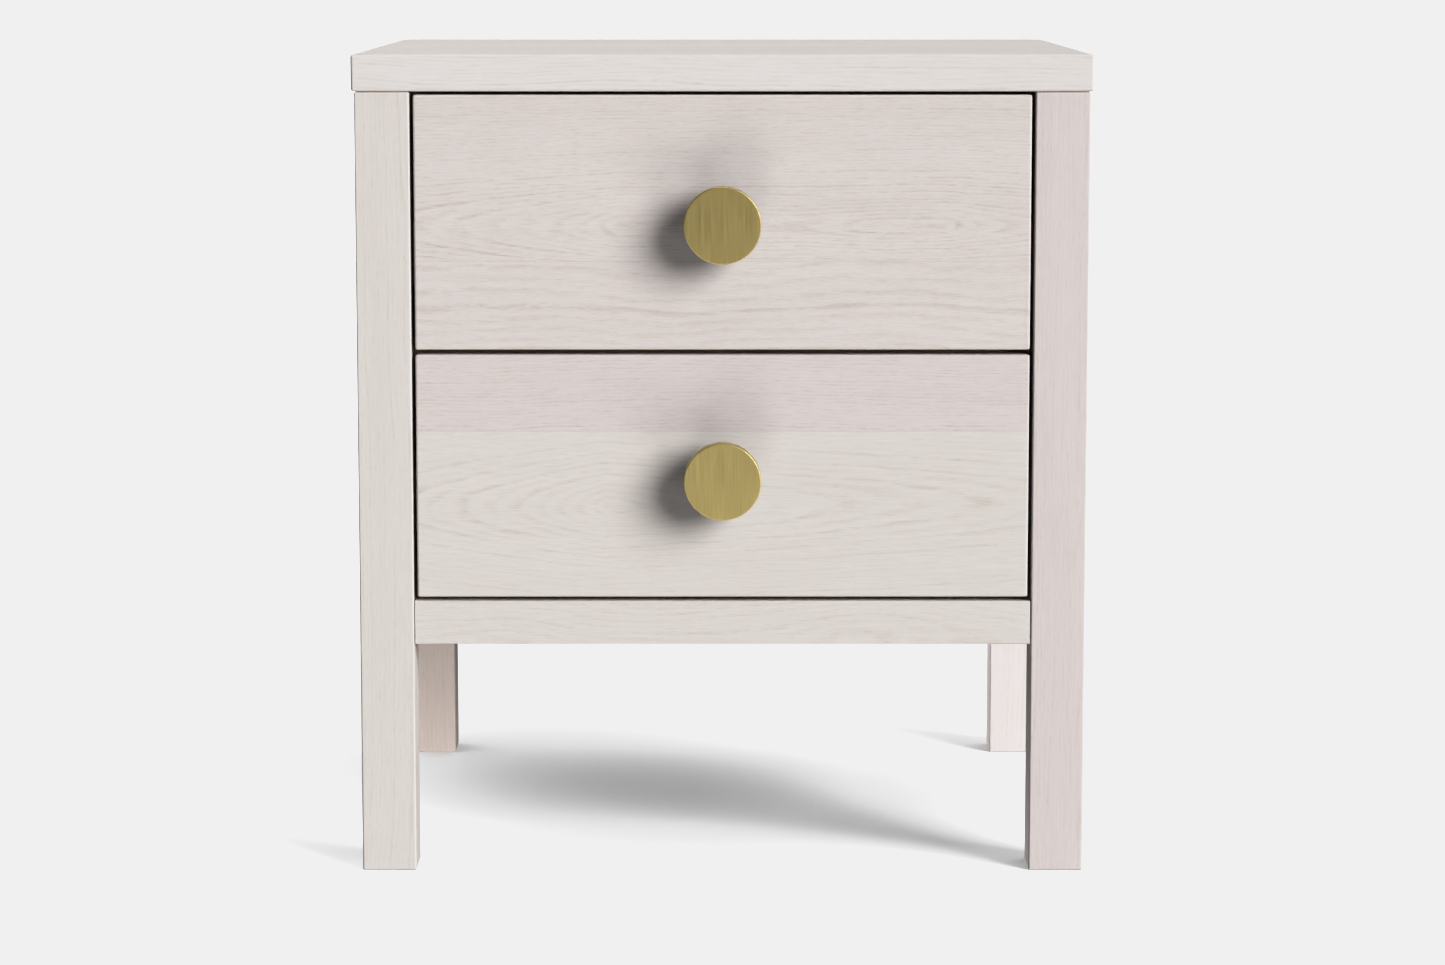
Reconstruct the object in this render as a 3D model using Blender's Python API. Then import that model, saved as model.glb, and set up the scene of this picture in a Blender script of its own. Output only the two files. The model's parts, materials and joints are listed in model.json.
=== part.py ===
"""Bedside cabinet with two inset drawers on ball-bearing slides.

Metres, +Z up. The front faces -Y, and left is -X. The origin is on the floor, in the middle of
the whole object, knobs included. Every board, slide member and fastener is its own object, and
faces that touch on the real cabinet keep FIT between them.
"""

from math import radians

import bmesh
import bpy
from mathutils import Vector

# Driving dimensions
HEIGHT = 0.560
TOP_WIDTH = 0.500
TOP_DEPTH = 0.450
TOP_THICK = 0.025
OVERHANG = 0.002  # the top stands proud of the legs on all four sides
LEG = 0.037  # square section
RAIL_BOTTOM = 0.158  # the clear height under the cabinet
RAIL_TOP = 0.188
FIT = 0.0003  # between faces that touch

# Drawer fronts, set into the opening between the legs
FRONT_THICK = 0.020
SET_BACK = 0.001  # fronts and bottom rail lie this far behind the legs' faces
SIDE_GAP = 0.0025
GAP_UNDER_LOWER = 0.0027
GAP_BETWEEN = 0.0033
FRONT_HEIGHT = {"lower": 0.1664, "upper": 0.1724}

# Knobs: a disc on a post, held by a machine screw from inside the drawer
KNOB_RADIUS = 0.026
KNOB_DISC = 0.012
KNOB_PROJECTION = 0.031  # from the drawer front's face to the disc's face
KNOB_CHAMFER = 0.0007
POST_RADIUS = 0.009

# Screws
SCREW_RADIUS = 0.002
SCREW_HEAD_RADIUS = 0.004
SCREW_HEAD_THICK = 0.0022
SCREW_BITE = 0.012  # how deep a screw goes into the last piece
FRONT_SCREW_X = 0.120
TOP_SCREW_X = 0.150

# Carcass boards
SIDE_THICK = 0.018
SIDE_INSET = 0.006  # the side panels lie this far inside the legs' outer faces
TONGUE = 0.008  # thickness and depth of the side panels' tongues
TENON_LONG = 0.012
SHOULDER = 0.004  # how far a tenon is cut back from its rail's faces
STRETCHER_THICK = 0.018  # the flat rails under the top and between the drawers
STRETCHER_DEEP = 0.050
STRETCHER_BEHIND_FRONT = 0.0015
BACK_RAIL_HIGH = 0.050
BACK_RAIL_THICK = 0.018
BACK_INSET = 0.005  # the back rails lie this far inside the back legs' rear faces
BACK_PANEL_THICK = 0.006
BACK_GROOVE = 0.003
BOTTOM_THICK = 0.006
BOTTOM_LIFT = 0.012  # from the rail's lower edge to the bottom panel
BOTTOM_GROOVE = 0.006

# Drawer boxes
BOX_BOARD = 0.012
BOX_HIGH = 0.130
BOX_LENGTH = 0.350
BOX_LIFT = 0.014  # from the front's lower edge to the box's lower edge
BASE_THICK = 0.006
BASE_LIFT = 0.010  # from the box's lower edge to its base
BASE_GROOVE = 0.005

# Slides: three steel members nested in each other, each a channel of bent sheet
SLIDE_LENGTH = 0.350
SLIDE_THICK = 0.0127
SLIDE_HIGH = 0.045
SLIDE_LIFT = 0.050  # from the box's lower edge to the slide's middle
SLIDE_BEHIND_FRONT = 0.002
SHEET = 0.0012
RUNNING = 0.0004  # between members
FLANGE_END = {"cabinet": 0.0100, "middle": 0.0105, "drawer": 0.0035}  # in from the leg
CLEAT_HIGH = 0.060

# Edge rounding
TOP_ROUND = 0.002
FRONT_ROUND = 0.0015
LEG_ROUND = 0.0012
ARRIS = 0.0005  # a sanded edge on hidden boards

# Places worked out from the driving dimensions. Those in X are measured out from the middle.
KNOB_REACH = KNOB_PROJECTION - SET_BACK  # in front of the legs' faces
LEG_FRONT = KNOB_REACH - (TOP_DEPTH - OVERHANG + KNOB_REACH) / 2
LEG_BACK = LEG_FRONT + TOP_DEPTH - 2 * OVERHANG
LEG_OUT = TOP_WIDTH / 2 - OVERHANG
LEG_IN = LEG_OUT - LEG
LEG_TOP = HEIGHT - TOP_THICK
FRONT_LEG_REAR = LEG_FRONT + LEG
BACK_LEG_FRONT = LEG_BACK - LEG
RAIL_HALF = LEG_IN - FIT
FACE = LEG_FRONT + SET_BACK
FRONT_REAR = FACE + FRONT_THICK
FRONT_HALF = LEG_IN - SIDE_GAP
SIDE_OUT = LEG_OUT - SIDE_INSET
SIDE_IN = SIDE_OUT - SIDE_THICK
SIDE_MIDDLE = (SIDE_OUT + SIDE_IN) / 2
BACK_RAIL_REAR = LEG_BACK - BACK_INSET
BACK_RAIL_FRONT = BACK_RAIL_REAR - BACK_RAIL_THICK
BACK_PANEL_FRONT = BACK_RAIL_FRONT + (BACK_RAIL_THICK - BACK_PANEL_THICK) / 2
STRETCHER_FRONT = FRONT_REAR + STRETCHER_BEHIND_FRONT
STRETCHER_LOW = LEG_TOP - FIT - STRETCHER_THICK
BOX_FRONT = FRONT_REAR + FIT
BOX_REAR = BOX_FRONT + BOX_LENGTH
BOX_HALF = LEG_IN - SLIDE_THICK - FIT
BOX_INNER_HALF = BOX_HALF - BOX_BOARD
SLIDE_MIDDLE_Y = FRONT_REAR + SLIDE_BEHIND_FRONT + SLIDE_LENGTH / 2
LOWER_FRONT_LOW = RAIL_TOP + GAP_UNDER_LOWER
UPPER_FRONT_LOW = LOWER_FRONT_LOW + FRONT_HEIGHT["lower"] + GAP_BETWEEN
FRONT_LOW = {"lower": LOWER_FRONT_LOW, "upper": UPPER_FRONT_LOW}
SIDES = {"left": -1, "right": 1}


def slide_height(level):
    """The height of the middle of a drawer's slides."""
    return FRONT_LOW[level] + BOX_LIFT + SLIDE_LIFT


def across(side, near, far):
    """Low and high X of a span given by its distances from the middle."""
    return (near, far) if side > 0 else (-far, -near)


# Materials
def material(name, colour, roughness, metallic=0.0):
    """A plain surface of one colour, in linear red, green and blue."""
    mat = bpy.data.materials.new(name)
    mat.use_nodes = True
    shader = mat.node_tree.nodes["Principled BSDF"]
    shader.inputs["Base Color"].default_value = (*colour, 1.0)
    shader.inputs["Roughness"].default_value = roughness
    shader.inputs["Metallic"].default_value = metallic
    mat.diffuse_color = (*colour, 1.0)
    return mat


# Building blocks
def origin_of(obj):
    """World place of an object's origin. Nothing here is turned or scaled."""
    above = origin_of(obj.parent) if obj.parent else Vector()
    return obj.location + above


def add_object(name, bm, mat, origin, parent=None):
    """Turn a bmesh, whose points are given from origin, into an object there."""
    bmesh.ops.recalc_face_normals(bm, faces=bm.faces)
    mesh = bpy.data.meshes.new(name)
    bm.to_mesh(mesh)
    bm.free()
    if mat:
        mesh.materials.append(mat)
    obj = bpy.data.objects.new(name, mesh)
    bpy.context.scene.collection.objects.link(obj)
    obj.parent = parent
    obj.location = Vector(origin) - (origin_of(parent) if parent else Vector())
    return obj


def box_bmesh(low, high):
    bm = bmesh.new()
    bmesh.ops.create_cube(bm, size=1.0)
    bmesh.ops.scale(bm, vec=Vector(high) - Vector(low), verts=bm.verts)
    return bm


def rod_bmesh(radius, start, end, segments):
    """A round bar along the line between two points, round its own middle."""
    run = Vector(end) - Vector(start)
    turn = Vector((0, 0, 1)).rotation_difference(run).to_matrix().to_4x4()
    bm = bmesh.new()
    bmesh.ops.create_cone(
        bm, cap_ends=True, segments=segments, radius1=radius, radius2=radius, depth=run.length
    )
    bmesh.ops.transform(bm, matrix=turn, verts=bm.verts)
    return bm


def middle_of(low, high):
    return (Vector(low) + Vector(high)) / 2


def combine(obj, bm, centre, operation):
    """Add a bmesh, placed at a world point, to an object, or cut it out of the object."""
    tool = add_object(f"tool_{obj.name}_{len(obj.modifiers)}", bm, None, centre, obj)
    tool.hide_render = True
    tool.display_type = "WIRE"
    step = obj.modifiers.new(operation.lower(), "BOOLEAN")
    step.operation = operation
    step.solver = "EXACT"
    step.object = tool


def add_box(obj, low, high):
    combine(obj, box_bmesh(low, high), middle_of(low, high), "UNION")


def socket(obj, low, high):
    """Cut a mortise or a groove, FIT larger all round than what goes in it."""
    room = Vector((FIT, FIT, FIT))
    low, high = Vector(low) - room, Vector(high) + room
    combine(obj, box_bmesh(low, high), middle_of(low, high), "DIFFERENCE")


def drill(obj, start, end):
    """Bore a screw hole, FIT wider than the screw and FIT deeper at both ends."""
    start, end = Vector(start), Vector(end)
    extra = (end - start).normalized() * FIT
    start, end = start - extra, end + extra
    hole = rod_bmesh(SCREW_RADIUS + FIT, start, end, 12)
    combine(obj, hole, middle_of(start, end), "DIFFERENCE")


def board(name, low, high, mat, rounding=ARRIS, segments=1, parent=None):
    """A squared board between two corners, with its edges eased."""
    obj = add_object(name, box_bmesh(low, high), mat, middle_of(low, high), parent)
    ease_edges(obj, rounding, segments)
    return obj


def ease_edges(obj, width, segments):
    bevel = obj.modifiers.new("eased edges", "BEVEL")
    bevel.width = width
    bevel.segments = segments
    bevel.limit_method = "ANGLE"
    bevel.angle_limit = radians(50)


def extruded(name, outline, start, run, mat, origin, parent=None):
    """A flat outline swept along run. Its points and start are given from origin."""
    bm = bmesh.new()
    face = bm.faces.new([bm.verts.new(Vector(point) + Vector(start)) for point in outline])
    swept = bmesh.ops.extrude_face_region(bm, geom=[face])
    moved = [item for item in swept["geom"] if isinstance(item, bmesh.types.BMVert)]
    bmesh.ops.translate(bm, vec=Vector(run), verts=moved)
    return add_object(name, bm, mat, origin, parent)


def rod(name, radius, start, end, mat, segments, parent=None):
    bm = rod_bmesh(radius, start, end, segments)
    obj = add_object(name, bm, mat, middle_of(start, end), parent)
    obj.data.shade_smooth()
    obj.data.set_sharp_from_angle(angle=radians(40))
    return obj


def screw(name, under_head, tip, mat, parent=None):
    """A pan-head screw, with its shank from inside the head to the tip."""
    under_head, tip = Vector(under_head), Vector(tip)
    head_top = under_head + (under_head - tip).normalized() * SCREW_HEAD_THICK
    inside_head = middle_of(under_head, head_top)
    obj = rod(name, SCREW_RADIUS, inside_head, tip, mat, 12, parent)
    head = rod_bmesh(SCREW_HEAD_RADIUS, under_head, head_top, 16)
    combine(obj, head, inside_head, "UNION")


# Carcass
def make_legs(wood):
    """Four square posts from the floor to the top, by end and side."""
    legs = {}
    for side_name, side in SIDES.items():
        x_low, x_high = across(side, LEG_IN, LEG_OUT)
        for end_name, y_low in (("front", LEG_FRONT), ("back", BACK_LEG_FRONT)):
            low = (x_low, y_low, 0)
            high = (x_high, y_low + LEG, LEG_TOP - FIT)
            name = f"leg_{end_name}_{side_name}"
            legs[end_name, side_name] = board(name, low, high, wood, LEG_ROUND, 3)
    return legs


def make_rail(name, end_name, y_span, z_span, legs, wood, rounding=ARRIS, segments=1):
    """A rail between two legs, with a stub tenon in a mortise at each end."""
    low = (-RAIL_HALF, y_span[0], z_span[0])
    high = (RAIL_HALF, y_span[1], z_span[1])
    rail = board(name, low, high, wood, rounding, segments)
    if end_name == "front":
        leg_low, leg_high = LEG_FRONT, FRONT_LEG_REAR
    else:
        leg_low, leg_high = BACK_LEG_FRONT, LEG_BACK
    y_low = max(y_span[0], leg_low) + SHOULDER
    y_high = min(y_span[1], leg_high) - SHOULDER
    z_low, z_high = z_span[0] + SHOULDER, z_span[1] - SHOULDER
    for side_name, side in SIDES.items():
        x_low, x_high = across(side, LEG_IN - TENON_LONG, LEG_IN + TENON_LONG)
        low, high = (x_low, y_low, z_low), (x_high, y_high, z_high)
        add_box(rail, low, high)
        socket(legs[end_name, side_name], low, high)
    return rail


def make_side_panels(legs, wood):
    """Side panels, with a tongue down each end in a groove in the leg, open at its top."""
    z_low, z_high = RAIL_BOTTOM, LEG_TOP - FIT
    y_low, y_high = FRONT_LEG_REAR + FIT, BACK_LEG_FRONT - FIT
    for side_name, side in SIDES.items():
        x_low, x_high = across(side, SIDE_IN, SIDE_OUT)
        name = f"side_panel_{side_name}"
        panel = board(name, (x_low, y_low, z_low), (x_high, y_high, z_high), wood)
        x_low, x_high = across(side, SIDE_MIDDLE - TONGUE / 2, SIDE_MIDDLE + TONGUE / 2)
        low = (x_low, y_low - TONGUE, z_low + ARRIS)
        high = (x_high, y_high + TONGUE, z_high - ARRIS)
        add_box(panel, low, high)
        for end_name in ("front", "back"):
            socket(legs[end_name, side_name], low, (*high[:2], LEG_TOP))


def make_top(wood):
    low = (-TOP_WIDTH / 2, LEG_FRONT - OVERHANG, LEG_TOP)
    high = (TOP_WIDTH / 2, LEG_BACK + OVERHANG, HEIGHT)
    return board("top_panel", low, high, wood, TOP_ROUND, 4)


def make_carcass(wood, ply, steel):
    """The case that the drawers run in."""
    legs = make_legs(wood)
    make_side_panels(legs, wood)
    top = make_top(wood)

    # The bottom rail shows below the drawers, the three flat rails are behind and above them.
    rail_y = (FACE, FRONT_REAR)
    rail_z = (RAIL_BOTTOM, RAIL_TOP)
    bottom_rail = make_rail("front_bottom_rail", "front", rail_y, rail_z, legs, wood, 0.0008, 2)
    flat_y = (STRETCHER_FRONT, STRETCHER_FRONT + STRETCHER_DEEP)
    top_z = (STRETCHER_LOW, STRETCHER_LOW + STRETCHER_THICK)
    gap_middle = UPPER_FRONT_LOW - GAP_BETWEEN / 2
    middle_z = (gap_middle - STRETCHER_THICK / 2, gap_middle + STRETCHER_THICK / 2)
    make_rail("front_middle_rail", "front", flat_y, middle_z, legs, wood)
    front_top = make_rail("front_top_rail", "front", flat_y, top_z, legs, wood)
    back_flat_y = (BACK_RAIL_REAR - STRETCHER_DEEP, BACK_RAIL_REAR)
    back_top = make_rail("back_top_rail", "back", back_flat_y, top_z, legs, wood)
    back_y = (BACK_RAIL_FRONT, BACK_RAIL_REAR)
    back_z = (RAIL_BOTTOM, RAIL_BOTTOM + BACK_RAIL_HIGH)
    back_bottom = make_rail("back_bottom_rail", "back", back_y, back_z, legs, wood)

    # The back panel slots into the back legs and between the two back rails.
    low = (-LEG_IN - BACK_GROOVE, BACK_PANEL_FRONT, back_z[1] - BACK_GROOVE)
    high = (LEG_IN + BACK_GROOVE, BACK_PANEL_FRONT + BACK_PANEL_THICK, top_z[0] + BACK_GROOVE)
    board("back_panel", low, high, ply)
    for holder in (legs["back", "left"], legs["back", "right"], back_top, back_bottom):
        socket(holder, low, high)

    make_bottom_panel(bottom_rail, back_bottom, ply)
    for end_name, rail, y_span in (("front", front_top, flat_y), ("back", back_top, back_flat_y)):
        for side_name, side in SIDES.items():
            x, y = side * TOP_SCREW_X, sum(y_span) / 2
            under_head = (x, y, STRETCHER_LOW - FIT)
            tip = (x, y, LEG_TOP + SCREW_BITE)
            screw(f"top_screw_{end_name}_{side_name}", under_head, tip, steel)
            drill(rail, under_head, tip)
            drill(top, under_head, tip)


def make_bottom_panel(front_rail, back_rail, ply):
    """The panel under the lower drawer, notched round the legs and grooved into the rails."""
    z = RAIL_BOTTOM + BOTTOM_LIFT
    wide, narrow = SIDE_IN - FIT, RAIL_HALF
    y_ends = (FRONT_REAR - BOTTOM_GROOVE, BACK_RAIL_FRONT + BOTTOM_GROOVE)
    y_legs = (FRONT_LEG_REAR + FIT, BACK_LEG_FRONT - FIT)
    right = [
        (narrow, y_ends[0]),
        (narrow, y_legs[0]),
        (wide, y_legs[0]),
        (wide, y_legs[1]),
        (narrow, y_legs[1]),
        (narrow, y_ends[1]),
    ]
    outline = [(x, y, 0) for x, y in right] + [(-x, y, 0) for x, y in reversed(right)]
    extruded("bottom_panel", outline, (0, 0, 0), (0, 0, BOTTOM_THICK), ply, (0, 0, z))
    for rail in (front_rail, back_rail):
        low = (-narrow - FIT, y_ends[0], z)
        socket(rail, low, (narrow + FIT, y_ends[1], z + BOTTOM_THICK))


# Slides
def channel_outline(side, web, flange_end, half_high):
    """Section of a bent channel in X and Z. Its depths are counted in from the leg's face."""
    step = SHEET if flange_end > web else -SHEET
    inner_high = half_high - SHEET
    depths = [
        (web, -half_high),
        (flange_end, -half_high),
        (flange_end, -inner_high),
        (web + step, -inner_high),
        (web + step, inner_high),
        (flange_end, inner_high),
        (flange_end, half_high),
        (web, half_high),
    ]
    return [(side * (LEG_IN - depth), 0, z) for depth, z in depths]


def make_slide(level, side_name, wood, steel, drawer):
    """One three-member slide and the cleat that carries it."""
    side = SIDES[side_name]
    z = slide_height(level)
    x_low, x_high = across(side, LEG_IN, SIDE_IN - FIT)
    low = (x_low, FRONT_LEG_REAR + FIT, z - CLEAT_HIGH / 2)
    high = (x_high, BACK_LEG_FRONT - FIT, z + CLEAT_HIGH / 2)
    board(f"{level}_cleat_{side_name}", low, high, wood)

    nesting = SHEET + RUNNING
    members = {
        "cabinet": (FIT, SLIDE_HIGH / 2, None),
        "middle": (FIT + nesting, SLIDE_HIGH / 2 - nesting, None),
        "drawer": (SLIDE_THICK, SLIDE_HIGH / 2 - 2 * nesting, drawer),
    }
    centre = side * (LEG_IN - SLIDE_THICK / 2)
    for member, (web, half_high, parent) in members.items():
        outline = channel_outline(side, web, FLANGE_END[member], half_high)
        start = (-centre, -SLIDE_LENGTH / 2, 0)
        origin = (centre, SLIDE_MIDDLE_Y, z)
        name = f"{level}_slide_{member}_{side_name}"
        extruded(name, outline, start, (0, SLIDE_LENGTH, 0), steel, origin, parent)


# Drawers
def make_drawer_box(level, ply, drawer):
    """Four boards and a base that is grooved into them."""
    z_low = FRONT_LOW[level] + BOX_LIFT
    z_high = z_low + BOX_HIGH
    walls = []
    for side_name, side in SIDES.items():
        x_low, x_high = across(side, BOX_INNER_HALF, BOX_HALF)
        low, high = (x_low, BOX_FRONT, z_low), (x_high, BOX_REAR, z_high)
        walls.append(board(f"{level}_drawer_side_{side_name}", low, high, ply, parent=drawer))
    half = BOX_INNER_HALF - FIT
    for end_name, y in (("inner_front", BOX_FRONT), ("back", BOX_REAR - BOX_BOARD)):
        low, high = (-half, y, z_low), (half, y + BOX_BOARD, z_high)
        walls.append(board(f"{level}_drawer_{end_name}", low, high, ply, parent=drawer))
    edge = BOX_BOARD - BASE_GROOVE
    low = (-BOX_HALF + edge, BOX_FRONT + edge, z_low + BASE_LIFT)
    high = (BOX_HALF - edge, BOX_REAR - edge, z_low + BASE_LIFT + BASE_THICK)
    board(f"{level}_drawer_base", low, high, ply, parent=drawer)
    for wall in walls:
        socket(wall, low, high)
    return walls[2]


def make_knob(level, z, brass, steel, drawer, drilled):
    """A disc on a post, and the machine screw through the boards given as drilled."""
    disc_face = FACE - KNOB_PROJECTION
    disc_rear = disc_face + KNOB_DISC
    disc = rod(
        f"{level}_knob_disc", KNOB_RADIUS, (0, disc_face, z), (0, disc_rear, z), brass, 64, drawer
    )
    ease_edges(disc, KNOB_CHAMFER, 2)
    ends = (0, disc_rear + FIT, z), (0, FACE - FIT, z)
    post = rod(f"{level}_knob_post", POST_RADIUS, *ends, brass, 32, drawer)
    under_head = (0, BOX_FRONT + BOX_BOARD + FIT, z)
    tip = (0, FACE - SCREW_BITE, z)
    screw(f"{level}_knob_screw", under_head, tip, steel, drawer)
    for piece in (*drilled, post):
        drill(piece, under_head, tip)


def make_drawer(level, wood, ply, brass, steel):
    """One drawer with its front, knob and slides. It runs with the empty on its slides' line."""
    z_low = FRONT_LOW[level]
    z_high = z_low + FRONT_HEIGHT[level]
    drawer = bpy.data.objects.new(f"{level}_drawer", None)
    drawer.location = (0, SLIDE_MIDDLE_Y, slide_height(level))
    bpy.context.scene.collection.objects.link(drawer)

    low, high = (-FRONT_HALF, FACE, z_low), (FRONT_HALF, FRONT_REAR, z_high)
    front = board(f"{level}_drawer_front", low, high, wood, FRONT_ROUND, 3, drawer)
    inner_front = make_drawer_box(level, ply, drawer)
    make_knob(level, (z_low + z_high) / 2, brass, steel, drawer, (front, inner_front))
    z = z_low + BOX_LIFT + BOX_HIGH / 2
    for side_name, side in SIDES.items():
        under_head = (side * FRONT_SCREW_X, BOX_FRONT + BOX_BOARD + FIT, z)
        tip = (side * FRONT_SCREW_X, FRONT_REAR - SCREW_BITE, z)
        screw(f"{level}_front_screw_{side_name}", under_head, tip, steel, drawer)
        drill(inner_front, under_head, tip)
        drill(front, under_head, tip)
        make_slide(level, side_name, wood, steel, drawer)


def main():
    for obj in list(bpy.data.objects):
        bpy.data.objects.remove(obj, do_unlink=True)
    wood = material("limed_ash", (0.70, 0.65, 0.61), 0.55)
    ply = material("birch_ply", (0.62, 0.48, 0.33), 0.6)
    brass = material("brushed_brass", (0.42, 0.34, 0.12), 0.35, 1.0)
    steel = material("zinc_steel", (0.55, 0.56, 0.58), 0.35, 1.0)
    make_carcass(wood, ply, steel)
    for level in FRONT_LOW:
        make_drawer(level, wood, ply, brass, steel)


main()
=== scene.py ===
import json
import math

import bmesh
import bpy
from mathutils import Matrix, Vector


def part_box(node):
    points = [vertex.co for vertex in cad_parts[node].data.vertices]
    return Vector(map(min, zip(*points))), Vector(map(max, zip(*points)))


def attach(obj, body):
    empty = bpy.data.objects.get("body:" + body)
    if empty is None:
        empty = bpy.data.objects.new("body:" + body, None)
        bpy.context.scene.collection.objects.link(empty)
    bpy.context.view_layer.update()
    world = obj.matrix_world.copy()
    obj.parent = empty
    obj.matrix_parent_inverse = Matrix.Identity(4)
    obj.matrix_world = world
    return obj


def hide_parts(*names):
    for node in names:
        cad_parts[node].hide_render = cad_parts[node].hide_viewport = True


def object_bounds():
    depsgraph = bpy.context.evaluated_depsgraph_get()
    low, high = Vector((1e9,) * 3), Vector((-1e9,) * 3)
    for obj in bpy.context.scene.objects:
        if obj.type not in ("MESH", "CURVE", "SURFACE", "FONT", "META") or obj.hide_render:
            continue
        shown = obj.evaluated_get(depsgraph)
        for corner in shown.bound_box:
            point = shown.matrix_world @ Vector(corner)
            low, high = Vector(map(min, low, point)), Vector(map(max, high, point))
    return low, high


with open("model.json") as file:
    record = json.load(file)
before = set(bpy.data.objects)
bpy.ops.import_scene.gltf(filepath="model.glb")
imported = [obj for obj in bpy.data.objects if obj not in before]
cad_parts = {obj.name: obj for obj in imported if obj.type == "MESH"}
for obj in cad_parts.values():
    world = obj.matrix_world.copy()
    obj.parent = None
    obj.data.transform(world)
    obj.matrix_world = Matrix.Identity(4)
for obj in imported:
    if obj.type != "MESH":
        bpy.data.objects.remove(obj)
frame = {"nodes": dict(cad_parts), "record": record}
cad_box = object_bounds()

NODES = frame["nodes"]
LEVELS = ("lower", "upper")
SIDES = ("left", "right")
ENDS = ("front", "back")
AXES = {"x": Vector((1, 0, 0)), "y": Vector((0, 1, 0)), "z": Vector((0, 0, 1))}
MM = 0.001
BODY_OF = {node: body for body, nodes in frame["record"]["behaviour"]["bodies"].items() for node in nodes}


# ------------------------------------------------------------------ colours

def srgb(red, green, blue):
    """The linear colour of three display values from 0 to 255."""
    def linear(value):
        share = value / 255
        return share / 12.92 if share < 0.04045 else ((share + 0.055) / 1.055) ** 2.4
    return (linear(red), linear(green), linear(blue), 1.0)


PAPER = srgb(240, 240, 240)
LIMED = srgb(231, 225, 222)
LIMED_PALE = srgb(239, 234, 231)
LIMED_YELLOW = srgb(232, 227, 223)
LIMED_PINK = srgb(230, 223, 221)
# Painted shade: a browner base for the back left leg, standing in for the shade and warm bounced light it
# gets under the case.
PAINTED_SHADE_BROWN = srgb(230, 219, 212)
GRAIN = srgb(197, 183, 173)
PORE = srgb(178, 162, 151)
RAW_ASH = srgb(214, 199, 175)
RAW_GRAIN = srgb(185, 162, 130)
BIRCH = srgb(222, 208, 183)
BIRCH_LINE = srgb(196, 174, 142)
BRASS = (0.61, 0.52, 0.275, 1.0)
ZINC = srgb(196, 199, 202)
STEEL = srgb(168, 170, 172)


# ------------------------------------------------------------------ node trees

class Tree:
    """Short calls that fill one node tree. A value is a number, a tuple or another node's output."""

    def __init__(self, tree):
        self.tree = tree

    def put(self, socket, value):
        if isinstance(value, bpy.types.NodeSocket):
            self.tree.links.new(value, socket)
        elif value is not None:
            socket.default_value = value

    def add(self, kind, values=(), output=0, **settings):
        """A new node with its inputs set, in order or by name, and the output that is asked for."""
        node = self.tree.nodes.new(kind)
        for name, value in settings.items():
            setattr(node, name, value)
        pairs = values.items() if isinstance(values, dict) else enumerate(values)
        for key, value in pairs:
            self.put(node.inputs[key], value)
        return node.outputs[output]

    def math(self, operation, *values):
        return self.add("ShaderNodeMath", values, operation=operation)

    def vector(self, operation, *values):
        return self.add("ShaderNodeVectorMath", values, operation=operation)

    def noise(self, place, detail=2.0, output="Fac"):
        values = {"Vector": place, "Scale": 1.0, "Detail": detail, "Roughness": 0.55}
        return self.add("ShaderNodeTexNoise", values, output)

    def spread(self, value, low, high, to_low=0.0, to_high=1.0):
        """value taken smoothly from low..high to to_low..to_high."""
        values = {"Value": value, "From Min": low, "From Max": high, "To Min": to_low, "To Max": to_high}
        return self.add("ShaderNodeMapRange", values, interpolation_type="SMOOTHSTEP")

    def mix(self, share, first, second):
        """The first colour, turned into the second by that share."""
        share_in, first_in, second_in, colour_out = 0, 6, 7, 2
        values = {share_in: share, first_in: first, second_in: second}
        return self.add("ShaderNodeMix", values, colour_out, data_type="RGBA")

    def place_in(self, centre, turn):
        """Where a point is in a board's own axes, in millimetres from the board's centre."""
        point = self.add("ShaderNodeTexCoord", output="Object")
        values = (point, centre, turn, (MM, MM, MM))
        return self.add("ShaderNodeMapping", values, vector_type="TEXTURE")


def new_group(name, inputs, outputs):
    """An empty node group with number sockets, except Place, which is a vector."""
    tree = bpy.data.node_groups.new(name, "ShaderNodeTree")
    for socket in inputs:
        kind = "NodeSocketVector" if socket == "Place" else "NodeSocketFloat"
        tree.interface.new_socket(socket, in_out="INPUT", socket_type=kind)
    for socket in outputs:
        tree.interface.new_socket(socket, in_out="OUTPUT", socket_type="NodeSocketFloat")
    return tree


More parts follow.
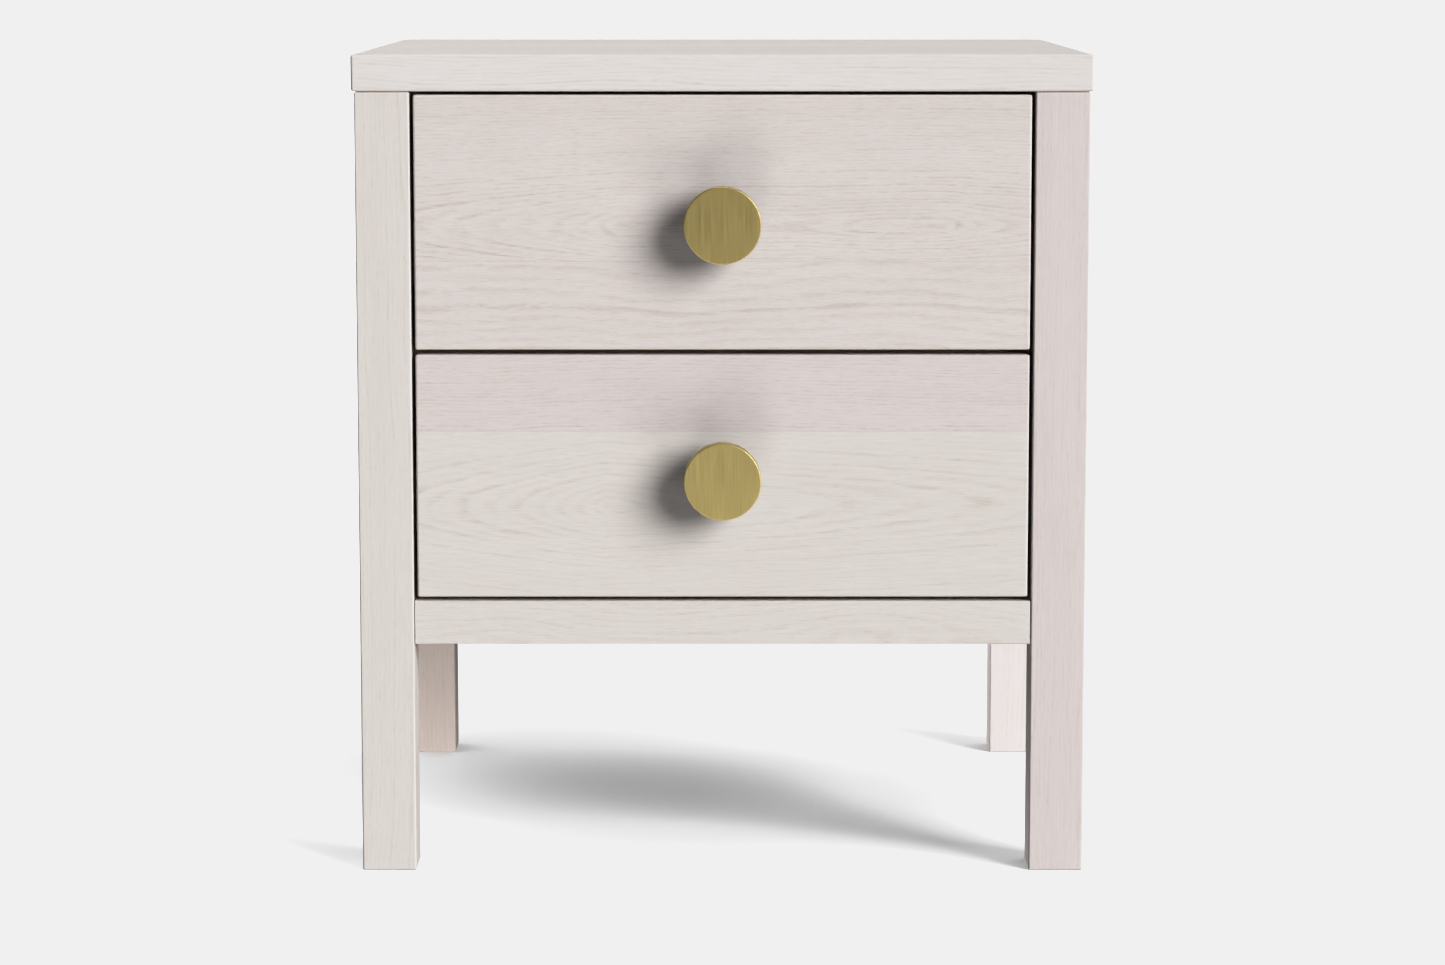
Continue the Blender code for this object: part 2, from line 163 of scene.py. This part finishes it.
def make_grain_group():
    """Ash grain in the solid: growth rings round a pith line, coarse early-wood pores and fine fibre.

    Place is in millimetres, with X along the trunk. The pith runs along X at height Pith and at
    Depth under the face, and both wander by Wobble, so that a flat-sawn face shows nested arches.
    Where Taper grows along X, each ring closes in a point. Lines are weaker away from the pith.
    """
    tree = new_group("board_grain", ("Place", "Pith", "Depth", "Taper", "Spacing", "Wobble", "Seed"),
                     ("Line", "Pores", "Fibre", "Tone"))
    t = Tree(tree)
    given = tree.nodes.new("NodeGroupInput").outputs
    seed = t.vector("MULTIPLY", t.add("ShaderNodeCombineXYZ", (given["Seed"],) * 3), (17.3, 31.7, 11.9))

    def stretched(along, across):
        shrunk = t.vector("MULTIPLY", given["Place"], (1 / along, 1 / across, 1 / across))
        return t.vector("ADD", shrunk, seed)

    def swing(place, reach):
        """Two numbers that wander from -reach to +reach."""
        wander = t.vector("SUBTRACT", t.noise(place, 1.0, "Color"), (0.5, 0.5, 0.5))
        parts = t.add("ShaderNodeSeparateXYZ", (t.vector("MULTIPLY", wander, (4, 4, 4)),)).node.outputs
        return [t.math("MULTIPLY", part, reach) for part in parts[:2]]

    long_swing = swing(stretched(230, 110), given["Wobble"])
    short_swing = swing(stretched(34, 9), t.math("MULTIPLY", given["Spacing"], 0.2))
    parts = t.add("ShaderNodeSeparateXYZ", (given["Place"],)).node.outputs
    height = t.math("SUBTRACT", parts["Y"], given["Pith"])
    height = t.math("ADD", height, t.math("ADD", long_swing[0], short_swing[0]))
    depth = t.math("ADD", given["Depth"], parts["Z"])
    depth = t.math("ADD", depth, t.math("ADD", long_swing[1], short_swing[1]))
    square = t.math("ADD", t.math("MULTIPLY", height, height), t.math("MULTIPLY", depth, depth))
    radius = t.math("SQRT", square)
    ring = t.math("DIVIDE", t.math("ADD", radius, given["Taper"]), given["Spacing"])
    phase = t.math("FRACT", ring)
    which = t.math("ADD", t.math("FLOOR", ring), given["Seed"])
    vigour = t.add("ShaderNodeTexWhiteNoise", {"W": which}, noise_dimensions="1D")
    weakest = 0.25
    vigour = t.math("MULTIPLY_ADD", t.math("POWER", vigour, 1.6), 1 - weakest, weakest)
    darkest, late_wood = 0.22, 0.8
    onset = t.spread(phase, 0.0, darkest)
    fade = t.spread(phase, darkest, late_wood, 1.0, 0.0)
    early = t.math("MULTIPLY", t.math("MULTIPLY", onset, fade), vigour)
    dashes = t.spread(t.noise(stretched(7.5, 0.5), 1.0), 0.52, 0.66)
    patchy = t.spread(t.noise(stretched(36, 4.5), 2.0), 0.38, 0.62, 0.12, 1.0)
    near = t.spread(t.math("ABSOLUTE", height), 14, 46, 1.0, 0.55)
    line = t.math("MULTIPLY", t.math("MULTIPLY", early, patchy), near)
    pores = t.math("MULTIPLY", dashes, t.math("MULTIPLY_ADD", early, 0.7, 0.3))
    fibre = t.math("SUBTRACT", t.noise(stretched(20, 0.8), 3.0), 0.5)
    tone = t.math("SUBTRACT", t.noise(stretched(150, 22), 2.0), 0.5)
    out = tree.nodes.new("NodeGroupOutput")
    for name, value in (("Line", line), ("Pores", pores), ("Fibre", fibre), ("Tone", tone)):
        tree.links.new(value, out.inputs[name])
    return tree


GRAIN_GROUP = make_grain_group()


def new_material(name):
    """An empty Principled material and its tree."""
    material = bpy.data.materials.new(name)
    material.use_nodes = True
    t = Tree(material.node_tree)
    shader = material.node_tree.nodes["Principled BSDF"]
    return material, t, shader


# ------------------------------------------------------------------ wood

class Grain:
    """How one board was cut: its pith's height and depth in mm, its rings and its colours."""

    def __init__(self, seed, pith=60.0, depth=45.0, spacing=2.6, wobble=4.0, taper=0.0,
                 base=LIMED, line=0.34, pores=0.20):
        self.seed = seed
        self.pith = pith
        self.depth = depth
        self.spacing = spacing
        self.wobble = wobble
        self.taper = taper
        self.base = base
        self.line = line
        self.pores = pores


def board_colour(t, place, grain, dark=GRAIN, pore=PORE):
    """The colour of a board with that grain, and how deep its surface is, from 0 to 1."""
    values = {"Place": place, "Pith": grain.pith, "Depth": grain.depth, "Taper": grain.taper,
              "Spacing": grain.spacing, "Wobble": grain.wobble, "Seed": float(grain.seed)}
    group = t.tree.nodes.new("ShaderNodeGroup")
    group.node_tree = GRAIN_GROUP
    for name, value in values.items():
        t.put(group.inputs[name], value)
    out = group.outputs
    line = t.math("MULTIPLY", out["Line"], grain.line)
    pores = t.math("MULTIPLY", out["Pores"], grain.pores)
    colour = t.mix(line, grain.base, dark)
    colour = t.mix(pores, colour, pore)
    light = t.math("MULTIPLY_ADD", out["Fibre"], 0.12, 1.0)
    light = t.math("ADD", light, t.math("MULTIPLY", out["Tone"], 0.06))
    colour = t.vector("SCALE", colour, None, None, light)
    depth = t.math("MAXIMUM", out["Pores"], t.math("MULTIPLY", out["Line"], 0.3))
    return colour, depth


def finish_wood(t, shader, colour, depth, roughness=0.76, bump=0.12):
    """A matt, sealed face whose pores are slightly open and slightly rougher."""
    pore_roughness = 0.12
    t.put(shader.inputs["Base Color"], colour)
    t.put(shader.inputs["Roughness"], t.math("MULTIPLY_ADD", depth, pore_roughness, roughness))
    shader.inputs["Specular IOR Level"].default_value = 0.18
    height = t.math("SUBTRACT", 1.0, depth)
    values = {"Strength": bump, "Distance": 0.0002, "Height": height}
    t.put(shader.inputs["Normal"], t.add("ShaderNodeBump", values))


def board_frame(node, along):
    """A board's centre and the turn of its own axes: X along the grain, Z through its thickness."""
    low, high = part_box(node)
    size = high - low
    cross = [name for name in "xyz" if name != along]
    cross.sort(key=lambda name: -size["xyz".index(name)])
    x, y = AXES[along], AXES[cross[0]]
    turn = Matrix((x, y, x.cross(y))).transposed().to_euler()
    return tuple((low + high) / 2), tuple(turn)


def board_material(node, along, grain, dark=GRAIN, pore=PORE):
    """A material for one solid board, with its grain along an axis."""
    material, t, shader = new_material(node + "_wood")
    place = t.place_in(*board_frame(node, along))
    colour, depth = board_colour(t, place, grain, dark, pore)
    finish_wood(t, shader, colour, depth)
    return material


def front_material(level):
    """A drawer front, glued up from two boards, with arches where the rings lie near the face.

    All lengths are in millimetres from the front's centre, along its width or up it.
    """
    upper = level == "upper"
    material, t, shader = new_material(level + "_front_wood")
    low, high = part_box(level + "_drawer_front")
    centre = (low + high) / 2
    face = Vector((centre.x, low.y, centre.z))
    turn = Matrix((AXES["x"], AXES["z"], -AXES["y"])).transposed().to_euler()
    place = t.place_in(tuple(face), tuple(turn))
    parts = t.add("ShaderNodeSeparateXYZ", (place,)).node.outputs
    along = parts["X"]

    def beyond(start, slope):
        """Zero up to start, and from there on a straight rise; a negative slope rises to the left."""
        return t.math("MAXIMUM", t.math("MULTIPLY", t.math("SUBTRACT", along, start), slope), 0.0)

    if upper:
        glue_line = -26.0
        left = beyond(-70.0, -4.0)
        dip = t.math("MULTIPLY", t.spread(along, 48, 112), -68.0)
        right = beyond(150.0, 2.4)
        square = t.math("ADD", t.math("ADD", left, right), t.math("ADD", dip, 100.0))
        above = Grain(3, pith=-2, depth=t.math("SQRT", square), spacing=2.28, wobble=0.8,
                      line=0.27, pores=0.27)
        below = Grain(11, pith=48, depth=22, spacing=7.5, wobble=12.0, line=0.66, pores=0.26)
    else:
        glue_line = 31.0
        square = t.math("ADD", t.math("ADD", beyond(-80.0, -4.6), beyond(-80.0, 1.9)), 20.0)
        taper = t.math("ADD", beyond(-80.0, -0.075), beyond(-80.0, 0.03))
        above = Grain(23, pith=-70, depth=60, spacing=2.2, wobble=2.5, base=LIMED_PINK, pores=0.26)
        below = Grain(7, pith=-20, depth=t.math("SQRT", square), taper=taper, spacing=3.6, wobble=1.4,
                      base=LIMED_YELLOW, line=0.23, pores=0.15)
    lower_colour, lower_depth = board_colour(t, place, below)
    upper_colour, upper_depth = board_colour(t, place, above)
    is_above = t.math("GREATER_THAN", parts["Y"], glue_line)
    colour = t.mix(is_above, lower_colour, upper_colour)
    depth = t.math("ADD", t.math("MULTIPLY", is_above, upper_depth),
                   t.math("MULTIPLY", t.math("SUBTRACT", 1.0, is_above), lower_depth))
    from_seam = t.math("ABSOLUTE", t.math("SUBTRACT", parts["Y"], glue_line))
    seam = t.spread(from_seam, 0.1, 0.5, 0.2, 0.0)
    colour = t.mix(seam, colour, GRAIN)
    finish_wood(t, shader, colour, depth)
    return material


def staved_material(node, staves, seed):
    """A wide panel glued up from equal staves that run along X, each with its own grain."""
    material, t, shader = new_material(node + "_wood")
    low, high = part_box(node)
    centre, turn = board_frame(node, "x")
    place = t.place_in(centre, turn)
    parts = t.add("ShaderNodeSeparateXYZ", (place,)).node.outputs
    width = (high.y - low.y) / MM / staves
    count = t.math("DIVIDE", parts["Y"], width)
    which = t.math("FLOOR", count)
    inside = t.math("MULTIPLY", t.math("SUBTRACT", t.math("SUBTRACT", count, which), 0.5), width)
    next_along = 311.0
    shift = t.math("MULTIPLY", which, next_along)
    own = t.add("ShaderNodeCombineXYZ", (t.math("ADD", parts["X"], shift), inside, parts["Z"]))
    grain = Grain(seed, pith=12, depth=30, spacing=2.8, wobble=9.0, base=LIMED_PALE,
                  line=0.24, pores=0.15)
    colour, depth = board_colour(t, own, grain)
    tint = t.add("ShaderNodeTexWhiteNoise", {"W": which}, noise_dimensions="1D")
    colour = t.vector("SCALE", colour, None, None, t.math("MULTIPLY_ADD", tint, 0.03, 0.985))
    finish_wood(t, shader, colour, depth)
    return material


def ply_material(node, along, seed):
    """Birch plywood: a plain veneer on the faces, and alternate long and cross plies on the edges."""
    ply, cross_dark = 1.5, 0.55
    material, t, shader = new_material(node + "_ply")
    centre, turn = board_frame(node, along)
    place = t.place_in(centre, turn)
    grain = Grain(seed, pith=90, depth=20, spacing=5.5, wobble=16, base=BIRCH, line=0.42, pores=0.26)
    colour, depth = board_colour(t, place, grain, BIRCH_LINE, BIRCH_LINE)
    through = t.add("ShaderNodeSeparateXYZ", (place,)).node.outputs["Z"]
    low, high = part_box(node)
    thick = min(high - low) / MM
    layer = t.math("FLOOR", t.math("DIVIDE", t.math("ADD", through, thick / 2 - 0.01), ply))
    crosswise = t.math("MODULO", layer, 2.0)
    colour = t.mix(t.math("MULTIPLY", crosswise, cross_dark), colour, BIRCH_LINE)
    finish_wood(t, shader, colour, depth, roughness=0.66)
    return material


def keep_faces_flat(piece):
    """Lets a rounded edge take all the turn in the light, so that the faces beside it stay flat."""
    normals = piece.modifiers.new("flat_faces_win", "WEIGHTED_NORMAL")
    normals.keep_sharp = True
    normals.weight = 100


def dress(node, material):
    """Gives a CAD node its finish, and smooth light over its rounded edges."""
    piece = NODES[node]
    piece.data.materials.clear()
    piece.data.materials.append(material)
    weld = piece.modifiers.new("weld", "WELD")
    weld.merge_threshold = 0.00001
    split = piece.modifiers.new("sharp_corners", "EDGE_SPLIT")
    split.split_angle = math.radians(60)
    for polygon in piece.data.polygons:
        polygon.use_smooth = True
    keep_faces_flat(piece)


def dress_wood():
    # The back left leg's browner base is painted shade, for the shade and warm bounced light under the
    # case.
    leg_base = {"leg_front_left": LIMED_YELLOW, "leg_back_left": PAINTED_SHADE_BROWN}
    dress("top_panel", staved_material("top_panel", staves=5, seed=41))
    for side in SIDES:
        for end in ENDS:
            node = f"leg_{end}_{side}"
            number = 50 + 3 * SIDES.index(side) + 7 * ENDS.index(end)
            grain = Grain(number, pith=34, depth=46, spacing=2.7, wobble=6.0,
                          base=leg_base.get(node, LIMED_PINK), line=0.17, pores=0.15)
            dress(node, board_material(node, "z", grain))
        node = f"side_panel_{side}"
        dress(node, board_material(node, "z", Grain(70 + len(side), pith=10, depth=30, wobble=9)))
    grain = Grain(81, pith=-22, depth=16, spacing=3.8, wobble=15, base=LIMED_YELLOW, line=0.20)
    dress("front_bottom_rail", board_material("front_bottom_rail", "x", grain))
    for index, node in enumerate(("back_top_rail", "back_bottom_rail")):
        dress(node, board_material(node, "x", Grain(90 + index, pith=25, depth=22, wobble=7)))
    for index, node in enumerate(("front_top_rail", "front_middle_rail")):
        grain = Grain(95 + index, base=RAW_ASH, line=0.5)
        dress(node, board_material(node, "x", grain, RAW_GRAIN, RAW_GRAIN))
    for level in LEVELS:
        dress(f"{level}_drawer_front", front_material(level))
        for side in SIDES:
            node = f"{level}_cleat_{side}"
            grain = Grain(101 + len(side), base=RAW_ASH, line=0.5)
            dress(node, board_material(node, "y", grain, RAW_GRAIN, RAW_GRAIN))
            node = f"{level}_drawer_side_{side}"
            dress(node, ply_material(node, "y", seed=110 + len(side)))
        for part in ("inner_front", "back"):
            node = f"{level}_drawer_{part}"
            dress(node, ply_material(node, "x", seed=120 + len(part)))
        dress(f"{level}_drawer_base", ply_material(f"{level}_drawer_base", "x", seed=131))
    for index, node in enumerate(("back_panel", "bottom_panel")):
        dress(node, ply_material(node, "x", seed=140 + index))
    # Else the light that it sends down would tint the floor's shadow.
    NODES["bottom_panel"].visible_diffuse = False


# ------------------------------------------------------------------ metal

def brass_material(level):
    """Bare satin brass, brushed up and down on the disc's face."""
    material, t, shader = new_material(level + "_brushed_brass")
    point = t.add("ShaderNodeTexCoord", output="Object")
    fine = t.noise(t.vector("MULTIPLY", point, (2600, 900, 30)), 3.0)
    streak = 0.42
    light = t.math("MULTIPLY_ADD", t.math("SUBTRACT", fine, 0.5), streak, 1.0)
    t.put(shader.inputs["Base Color"], t.vector("SCALE", BRASS[:3], None, None, light))
    t.put(shader.inputs["Roughness"], t.spread(fine, 0.2, 0.8, 0.37, 0.48))
    shader.inputs["Metallic"].default_value = 1.0
    values = {"Strength": 0.25, "Distance": 0.00005, "Height": fine}
    t.put(shader.inputs["Normal"], t.add("ShaderNodeBump", values))
    return material


def plated_material(name, colour, roughness, scale):
    """Zinc or steel plate: a faint mottle in its colour and its gloss."""
    mottle, dulling = 0.2, 0.14
    material, t, shader = new_material(name)
    point = t.add("ShaderNodeTexCoord", output="Object")
    spangle = t.noise(t.vector("MULTIPLY", point, (scale, scale * 0.2, scale)), 3.0)
    light = t.math("MULTIPLY_ADD", t.math("SUBTRACT", spangle, 0.5), mottle, 1.0)
    t.put(shader.inputs["Base Color"], t.vector("SCALE", colour[:3], None, None, light))
    t.put(shader.inputs["Roughness"], t.spread(spangle, 0.25, 0.75, roughness, roughness + dulling))
    shader.inputs["Metallic"].default_value = 1.0
    return material


def new_piece(name, shape, material, nodes, smooth_below=35):
    """A finished mesh that stands for CAD nodes and rides with their body."""
    mesh = bpy.data.meshes.new(name)
    bmesh.ops.recalc_face_normals(shape, faces=shape.faces)
    shape.to_mesh(mesh)
    shape.free()
    mesh.shade_smooth()
    mesh.set_sharp_from_angle(angle=math.radians(smooth_below))
    mesh.materials.append(material)
    piece = bpy.data.objects.new(name, mesh)
    bpy.context.scene.collection.objects.link(piece)
    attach(piece, BODY_OF[nodes[0]])
    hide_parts(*nodes)
    return piece


def arc(centre, radius, start, end, steps):
    """Points on an arc, with its angles in degrees."""
    angles = [math.radians(start + (end - start) * step / steps) for step in range(steps + 1)]
    return [(centre[0] + radius * math.cos(a), centre[1] + radius * math.sin(a)) for a in angles]


def turned(profile, base, axis, segments=128):
    """A solid of revolution. Its profile is (radius, distance along axis) from the base point."""
    shape = bmesh.new()
    axis = Vector(axis)
    side = axis.orthogonal().normalized()
    other = axis.cross(side)
    rings = []
    for radius, along in profile:
        ring = []
        for step in range(segments):
            angle = 2 * math.pi * step / segments
            out = side * math.cos(angle) + other * math.sin(angle)
            ring.append(shape.verts.new(base + axis * along + out * radius))
        rings.append(ring)
    for first, second in zip(rings, rings[1:]):
        for step in range(segments):
            after = (step + 1) % segments
            shape.faces.new((first[step], first[after], second[after], second[step]))
    shape.faces.new(rings[0])
    shape.faces.new(rings[-1])
    return shape


def make_knob(level):
    """A flat disc with a fine rounded edge on a post that flares where it meets the drawer.

    Neither throws its colour on the wood beside it.
    """
    brass = brass_material(level)
    edge = 0.0006
    low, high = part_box(f"{level}_knob_disc")
    radius, thick = (high.x - low.x) / 2, high.y - low.y
    centre = (low + high) / 2
    face = Vector((centre.x, low.y, centre.z))
    profile = arc((radius - edge, edge), edge, -90, 0, 6)
    profile += arc((radius - edge, thick - edge), edge, 0, 90, 6)
    shape = turned(profile, face, AXES["y"], 192)
    disc = new_piece(f"{level}_knob_face", shape, brass, [f"{level}_knob_disc"])
    keep_faces_flat(disc)
    disc.visible_diffuse = False

    low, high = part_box(f"{level}_knob_post")
    radius, long = (high.x - low.x) / 2, high.y - low.y
    flare = 0.0022
    rim = 0.0006
    profile = [(radius, 0.0), (radius, long - flare - rim)]
    profile += arc((radius + flare, long - flare - rim), flare, 180, 90, 8)
    profile += [(radius + flare, long)]
    start = Vector((centre.x, low.y, centre.z))
    shape = turned(profile, start, AXES["y"], 96)
    stem = new_piece(f"{level}_knob_stem", shape, brass, [f"{level}_knob_post"])
    stem.visible_diffuse = False


def cut(piece, shape):
    """Takes the solid out of the piece. The cutter is gone afterwards."""
    mesh = bpy.data.meshes.new("cutter")
    bmesh.ops.recalc_face_normals(shape, faces=shape.faces)
    shape.to_mesh(mesh)
    shape.free()
    cutter = bpy.data.objects.new("cutter", mesh)
    bpy.context.scene.collection.objects.link(cutter)
    modifier = piece.modifiers.new("cut", "BOOLEAN")
    modifier.operation = "DIFFERENCE"
    modifier.object = cutter
    bpy.context.view_layer.update()
    result = bpy.data.meshes.new_from_object(piece.evaluated_get(bpy.context.evaluated_depsgraph_get()))
    piece.modifiers.clear()
    piece.data = result
    bpy.data.objects.remove(cutter)


def prism(shape, outline, offset):
    """Adds a solid: a closed outline pushed along the offset."""
    face = shape.faces.new([shape.verts.new(point) for point in outline])
    grown = bmesh.ops.extrude_face_region(shape, geom=[face])
    moved = [item for item in grown["geom"] if isinstance(item, bmesh.types.BMVert)]
    bmesh.ops.translate(shape, verts=moved, vec=offset)


def make_screw(node, axis, head_is_high, steel):
    """A pan-head screw with a cross recess, a tapered shank and a point."""
    low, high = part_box(node)
    centre = (low + high) / 2
    index = "xyz".index(axis)
    across = "xyz".replace(axis, "")
    head_radius = (high["xyz".index(across[0])] - low["xyz".index(across[0])]) / 2
    long = high[index] - low[index]
    head_thick, shank, dome, crown, tip = 0.0022, 0.002, 0.0011, 0.0006, 0.0002
    away = AXES[axis] * (-1 if head_is_high else 1)
    top = centre.copy()
    top[index] = high[index] if head_is_high else low[index]
    profile = [(crown, 0.0)] + [
        (head_radius * math.sin(math.radians(turn)), dome * (1 - math.cos(math.radians(turn))))
        for turn in range(20, 91, 10)]
    profile += [(head_radius, head_thick), (shank, head_thick)]
    profile += [(shank, long - 3 * shank), (tip, long)]
    piece = new_piece(node + "_cross_head", turned(profile, top, away, 40), steel, [node])
    arm, half, deep, above = 0.0021, 0.0004, 0.0013, 0.0005
    for u, v in (across, across[::-1]):
        corners = ((-arm, -half), (arm, -half), (arm, half), (-arm, half))
        outline = [top - away * above + AXES[u] * a + AXES[v] * b for a, b in corners]
        slot = bmesh.new()
        prism(slot, outline, away * (deep + above))
        cut(piece, slot)


def make_slide(level, member, side, zinc):
    """One member of a drawer slide: sheet bent into a channel, with rounded bends and punched webs."""
    node = f"{level}_slide_{member}_{side}"
    low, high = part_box(node)
    sheet, outer_bend, bend_steps = 0.0012, 0.0022, 6
    inner_bend = outer_bend - sheet
    half = (high.z - low.z) / 2
    middle = (high.z + low.z) / 2
    reach = high.x - low.x
    web_is_high = (side == "right") == (member != "drawer")
    web = high.x if web_is_high else low.x
    inward = -1 if web_is_high else 1
    path = [(reach, -half)] + arc((outer_bend, -half + outer_bend), outer_bend, 270, 180, bend_steps)
    path += arc((outer_bend, half - outer_bend), outer_bend, 180, 90, bend_steps) + [(reach, half)]
    path += [(reach, half - sheet)]
    path += arc((outer_bend, half - outer_bend), inner_bend, 90, 180, bend_steps)
    path += arc((outer_bend, -half + outer_bend), inner_bend, 180, 270, bend_steps)
    path += [(reach, -half + sheet)]
    shape = bmesh.new()
    outline = [Vector((web + inward * depth, low.y, middle + z)) for depth, z in path]
    prism(shape, outline, Vector((0, high.y - low.y, 0)))
    piece = new_piece(node + "_channel", shape, zinc, [node])

    long = high.y - low.y
    slots_at = {"cabinet": (0.10, 0.37, 0.64, 0.90), "middle": (0.06, 0.5, 0.94),
                "drawer": (0.12, 0.5, 0.88)}
    half_slot, hole = 0.006, 0.0023
    shape = bmesh.new()
    for place in slots_at[member]:
        ends = arc((half_slot, 0), hole, -90, 90, 8) + arc((-half_slot, 0), hole, 90, 270, 8)
        y = low.y + long * place
        outline = [Vector((web - inward * sheet, y + a, middle + b)) for a, b in ends]
        prism(shape, outline, Vector((inward * sheet * 3, 0, 0)))
    cut(piece, shape)


def make_metal():
    zinc = plated_material("zinc_plate", ZINC, 0.32, 260)
    steel = plated_material("screw_steel_plate", STEEL, 0.3, 700)
    for level in LEVELS:
        make_knob(level)
        make_screw(f"{level}_knob_screw", "y", True, steel)
        for side in SIDES:
            make_screw(f"{level}_front_screw_{side}", "y", True, steel)
            for member in ("cabinet", "middle", "drawer"):
                make_slide(level, member, side, zinc)
    for end in ENDS:
        for side in SIDES:
            make_screw(f"top_screw_{end}_{side}", "z", False, steel)


# ------------------------------------------------------------------ stage, lights and camera

def stage_piece(name, material, seen_by, build):
    """A stage mesh with one task: the camera sees it, or gloss sees it, or it bounces light."""
    mesh = bpy.data.meshes.new(name)
    shape = bmesh.new()
    build(shape)
    shape.to_mesh(mesh)
    shape.free()
    mesh.materials.append(material)
    piece = bpy.data.objects.new(name, mesh)
    bpy.context.scene.collection.objects.link(piece)
    piece.visible_shadow = False
    piece.visible_camera = seen_by == "camera"
    piece.visible_diffuse = seen_by == "bounce"
    piece.visible_glossy = seen_by == "gloss"
    return piece


def glowing(name, colour):
    material = bpy.data.materials.new(name)
    material.use_nodes = True
    tree = material.node_tree
    tree.nodes.clear()
    t = Tree(tree)
    output = tree.nodes.new("ShaderNodeOutputMaterial")
    t.put(output.inputs["Surface"], t.add("ShaderNodeEmission", {"Color": colour}))
    return material


def make_stage():
    """What stands round the object: two meshes for the camera, one for gloss and one for bounced light.

    The floor and the dome meet far away. The floor also glows faintly, which keeps its shadow from
    going dark. The two sheets lie just under it: a pale one and a dim one.
    """
    far = 80.0
    paper_reach = 3.0
    floor_glow = 0.10
    material, t, shader = new_material("pale_floor")
    point = t.add("ShaderNodeTexCoord", output="Object")
    speck = t.noise(t.vector("MULTIPLY", point, (60, 60, 60)), 2.0)
    t.put(shader.inputs["Base Color"], t.mix(speck, (0.796, 0.80, 0.81, 1), (0.798, 0.802, 0.812, 1)))
    shader.inputs["Roughness"].default_value = 1.0
    shader.inputs["Specular IOR Level"].default_value = 0.0
    shader.inputs["Emission Color"].default_value = (1, 1, 1, 1)
    shader.inputs["Emission Strength"].default_value = floor_glow

    def disc(radius, height):
        place = Matrix.Translation((0, 0, height))
        return lambda shape: bmesh.ops.create_circle(
            shape, cap_ends=True, segments=96, radius=radius, matrix=place)

    def ball(shape):
        bmesh.ops.create_uvsphere(shape, u_segments=48, v_segments=24, radius=far * 1.02)

    stage_piece("dome", glowing("pale_dome", PAPER), "camera", ball)
    stage_piece("paper_sheen", glowing("pale_paper", PAPER), "gloss", disc(paper_reach, -0.001))
    dim_paper = glowing("dim_paper", (0.03, 0.03, 0.03, 1))
    stage_piece("paper_bounce", dim_paper, "bounce", disc(paper_reach, -0.002))
    return stage_piece("floor", material, "camera", disc(far, -0.0001))


def add_sun(name, azimuth, elevation, spread, strength, pieces, only=False):
    """A soft light far away. Azimuth 0 faces the front and 90 the right side; all angles in degrees.

    It lights only those pieces, or everything but them, so that the floor and the back legs can be
    lit apart from the rest. That is for the picture, and real lamps wouldn't do it.
    """
    lamp = bpy.data.lights.new(name, "SUN")
    lamp.angle = math.radians(spread)
    lamp.energy = strength
    light = bpy.data.objects.new(name, lamp)
    bpy.context.scene.collection.objects.link(light)
    turn, rise = math.radians(azimuth), math.radians(elevation)
    towards = Vector((math.sin(turn) * math.cos(rise), -math.cos(turn) * math.cos(rise), math.sin(rise)))
    light.rotation_euler = towards.to_track_quat("Z", "Y").to_euler()
    reach = bpy.data.collections.new(name + "_reach")
    for piece in pieces:
        reach.objects.link(piece)
    for entry in reach.collection_objects:
        entry.light_linking.link_state = "INCLUDE" if only else "EXCLUDE"
    light.light_linking.receiver_collection = reach


def make_lights(floor):
    """A low key from the front right with fills round it, the floor's two lights, and a faint world."""
    add_sun("key", 44, 19, 36, 2.94, [floor])
    add_sun("low_fill_left", -12, -53, 30, 0.76, [floor])
    add_sun("low_fill_right", 46, -36, 31, 0.76, [floor])
    add_sun("overhead", 0, 88, 40, 0.97, [floor])
    add_sun("back_fill", -142, 12, 40, 2.7, [floor])
    for side, strength in (("left", 2.0), ("right", 1.2)):
        add_sun(f"back_leg_fill_{side}", 0, -12, 40, strength, [NODES[f"leg_back_{side}"]], only=True)
    add_sun("floor_key", 46, 23, 28, 4.4, [floor], only=True)
    add_sun("floor_sky", 0, 90, 136, 3.95, [floor], only=True)
    world = bpy.data.worlds.new("studio")
    world.use_nodes = True
    background = world.node_tree.nodes["Background"]
    background.inputs["Color"].default_value = (1, 1, 1, 1)
    background.inputs["Strength"].default_value = 0.012
    bpy.context.scene.world = world


def set_tones():
    """A contrast curve: tones under `bright` fall by a power, and none rises over the paper's white."""
    view = bpy.context.scene.view_settings
    view.view_transform = "Standard"
    view.use_curve_mapping = True
    level = view.curve_mapping.curves[3]
    level.points[-1].location = (1.0, PAPER[0])
    level.points.new(PAPER[0], PAPER[0])
    bright, contrast = 0.70, 1.5
    for share in (0.08, 0.2, 0.35, 0.5, 0.7, 0.85, 1.0):
        level.points.new(bright * share, bright * share ** contrast)
    for point in level.points:
        point.handle_type = "VECTOR"
    view.curve_mapping.extend = "HORIZONTAL"
    view.curve_mapping.update()


def make_camera():
    """A long lens in front of the object, above it and looking slightly down. Metres and degrees."""
    low, high = cad_box
    distance, eye_height, pitch = 2.7021, 0.6309, 7.611
    data = bpy.data.cameras.new("camera")
    data.sensor_width = 36
    data.lens = 99.74
    data.clip_end = 300
    camera = bpy.data.objects.new("camera", data)
    leg_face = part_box("leg_front_left")[0].y
    camera.location = ((low.x + high.x) / 2, leg_face - distance, low.z + eye_height)
    camera.rotation_euler = (math.radians(90 - pitch), 0, 0)
    bpy.context.scene.collection.objects.link(camera)
    bpy.context.scene.camera = camera


dress_wood()
make_metal()
make_lights(make_stage())
set_tones()
make_camera()
